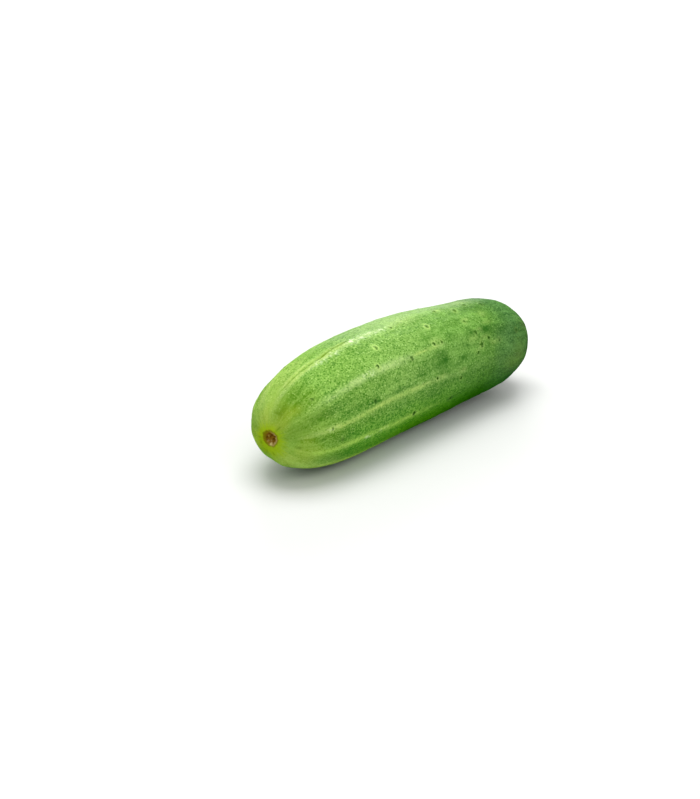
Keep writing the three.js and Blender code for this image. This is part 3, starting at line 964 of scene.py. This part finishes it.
# The scarred skin, and where it is dry tissue.
def scarredSkin(colour, place):
    rough = grain(place, *scarPaint["roughNoise"])
    stray = swayed(rough, scarPaint["ragged"])
    fromBlossom = plus(mark("blossomAway"), stray)
    fromStem = plus(mark("stemAway"), stray)
    haloAway = plus(mark("haloAway"), stray, times(mark("rays"), scarPaint["haloRays"]))
    inRing = between(fromBlossom, *scarPaint["ringFade"])
    onStub = between(fromStem, *scarPaint["stubFade"])
    ring = times(inRing, between(mark("ringPale"), *scarPaint["ringByPale"]))
    cork = mixed(between(rough, *scarPaint["deepFrom"]), scarPaint["cork"], scarPaint["deep"])
    cork = mixed(mark("scarPit"), cork, scarPaint["deep"])
    fibres = between(grain(place, *scarPaint["fibreNoise"]), *scarPaint["stubDeepFrom"])
    stub = mixed(fibres, scarPaint["stub"], scarPaint["stubDeep"])
    stub = mixed(between(fromStem, *scarPaint["pithFade"]), stub, scarPaint["pith"])
    stub = mixed(times(mark("stemBundle"), scarPaint["bundleShare"]), stub, scarPaint["bundle"])
    for share, over in (
        (between(haloAway, *scarPaint["haloFade"]), scarPaint["halo"]),
        (times(mark("scarMark"), scarPaint["markShare"]), scarPaint["mark"]),
        (between(fromBlossom, *scarPaint["fringeFade"]), scarPaint["fringe"]),
        (ring, scarPaint["ring"]),
        (between(fromBlossom, *scarPaint["corkFade"]), cork),
        (mark("nodule"), scarPaint["nodule"]),
        (between(fromStem, *scarPaint["skirtFade"]), scarPaint["skirt"]),
        (onStub, stub),
    ):
        colour = mixed(share, colour, over)
    return colour, most(inRing, onStub)


# Waxy skin and dull cork. The shine fades on the underside and at both ends.
gloss = dict(
    waxByFine=(0.3, 0.7, 0.4, 0.56), corkRoughness=0.45,
    specular=0.06, leastSpecular=0, bloomSpecular=0.04,
    dullFromTip=(0.14, 0.46, 1, 0), dullToStem=(0.72, 0.92, 0, 1),
    poreNoise=(1, 2.2, 2, 0.6),
    fineHeight=0.6, poreHeight=0.4, paleHeight=0.25,  # shares of the bump's height
    bumpHeight=0.0003,  # metres
    refraction=1.45,
    scatter=0.1, scatterRadius=(0.6, 1, 0.3), scatterScale=0.0012,  # light under the skin
)


def paintSkin():
    place = addNode("Attribute", attribute_name="skinPlace").outputs["Vector"]
    along = mark("along")
    low = mark("underside")
    colour, speck, pale, fine = mottledGreen(place, along, low)
    colour = markedSkin(colour, place, along, low, speck)
    colour, cork = scarredSkin(colour, place)

    wax = between(fine, *gloss["waxByFine"])
    roughness = plus(wax, times(cork, gloss["corkRoughness"]), clamp=True)
    atEnds = between(along, *gloss["dullToStem"]), between(along, *gloss["dullFromTip"])
    dull = most(low, *atEnds, mark("wartCore"), mark("darkPatch"))
    specular = between(dull, 0.0, 1.0, gloss["specular"], gloss["leastSpecular"])
    specular = plus(specular, times(mark("bloomAndSheen"), gloss["bloomSpecular"]))
    pores = grain(place, *gloss["poreNoise"])
    height = plus(
        times(fine, gloss["fineHeight"]),
        times(pores, gloss["poreHeight"]),
        times(pale, gloss["paleHeight"]),
    )
    bumped = addNode("Bump", {"Height": height, "Distance": gloss["bumpHeight"], "Strength": 1.0})
    shader = addNode("BsdfPrincipled", {
        "Base Color": colour,
        "Roughness": roughness,
        "Normal": bumped.outputs["Normal"],
        "IOR": gloss["refraction"],
        "Specular IOR Level": specular,
        "Subsurface Weight": gloss["scatter"],
        "Subsurface Radius": gloss["scatterRadius"],
        "Subsurface Scale": gloss["scatterScale"],
    })
    tree.links.new(shader.outputs["BSDF"], addNode("OutputMaterial").inputs["Surface"])


paintSkin()
skin = buildSkin()
skin.data.materials.append(waxySkin)
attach(skin, "root")
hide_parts("cucumber")
print("skin painted")


floorSheet = dict(size=9.0, colour=(200, 201, 199), roughness=0.9)  # metres across


def buildFloor():
    half = floorSheet["size"] / 2
    corners = [(-half, -half, 0), (half, -half, 0), (half, half, 0), (-half, half, 0)]
    mesh = bpy.data.meshes.new("paleFloor")
    mesh.from_pydata(corners, [], [(0, 1, 2, 3)])
    material = bpy.data.materials.new("matWhite")
    material.use_nodes = True
    shader = material.node_tree.nodes["Principled BSDF"]
    shader.inputs["Base Color"].default_value = screenColour(*floorSheet["colour"])
    shader.inputs["Roughness"].default_value = floorSheet["roughness"]
    mesh.materials.append(material)
    floor = placeObject("paleFloor", mesh)


lights = dict(
    softBoxes=[  # name, direction from the fruit, distance and size in m, watts
        ("overhead", (0.10, 0.12, 1.0), 1.6, 1.3, 27.5),
        ("behind", (0.70, 0.60, 0.40), 1.8, 0.7, 11.5),
        ("front", (-0.45, -0.75, 0.8), 2.0, 1.5, 11.5),
        ("side", (-0.90, 0.35, 0.45), 2.0, 1.2, 4.6),
        ("stemSide", (0.75, -0.60, 0.25), 1.8, 0.9, 4.2),
    ],
    skyColour=(1.0, 1.0, 1.0), skyStrength=0.6,
)


def buildLights():
    for name, direction, distance, size, power in lights["softBoxes"]:
        lamp = bpy.data.lights.new(name, "AREA")
        lamp.shape = "SQUARE"
        lamp.size = size
        lamp.energy = power
        towards = Vector(direction).normalized()
        holder = placeObject(name, lamp)
        holder.location = towards * distance
        holder.rotation_mode = "QUATERNION"
        holder.rotation_quaternion = towards.to_track_quat("Z", "Y")
    world = bpy.data.worlds.new("paleSky")
    world.use_nodes = True
    background = world.node_tree.nodes["Background"]
    background.inputs["Color"].default_value = (*lights["skyColour"], 1)
    background.inputs["Strength"].default_value = lights["skyStrength"]
    bpy.context.scene.world = world


camera = dict(
    azimuth=-51.1, elevation=20.7,  # degrees
    distance=0.85,  # metres from the middle of the fruit's axis
    lens=86.4, sensor=36.0,  # millimetres
    sees=(0.02, 50),  # metres, nearest and furthest
    picture=(700, 799),  # pixels
    middleAt=(403.5, 377.3),  # pixel where the middle of the axis falls
)


def buildCamera():
    azimuth, elevation = math.radians(camera["azimuth"]), math.radians(camera["elevation"])
    back = Vector((
        math.sin(azimuth) * math.cos(elevation),
        -math.cos(azimuth) * math.cos(elevation),
        math.sin(elevation),
    ))
    right = Vector((math.cos(azimuth), math.sin(azimuth), 0))
    up = back.cross(right)
    axisHeight = fruit["girthRadius"] - fruit["restDepth"]
    middle = Vector((offset[0], offset[1], axisHeight)) * millimetre
    width, height = camera["picture"]
    perPixel = camera["distance"] * camera["sensor"] / camera["lens"] / max(width, height)
    column, row = camera["middleAt"]
    aim = middle - right * (column - width / 2) * perPixel + up * (row - height / 2) * perPixel
    lens = bpy.data.cameras.new("camera")
    lens.lens = camera["lens"]
    lens.sensor_width = camera["sensor"]
    lens.clip_start, lens.clip_end = camera["sees"]
    holder = placeObject("camera", lens)
    holder.location = middle + back * camera["distance"]
    holder.rotation_mode = "QUATERNION"
    holder.rotation_quaternion = (holder.location - aim).to_track_quat("Z", "Y")
    bpy.context.scene.camera = holder


buildFloor()
buildLights()
buildCamera()
bpy.context.scene.view_settings.view_transform = "Standard"
print("floor, lights and camera placed")
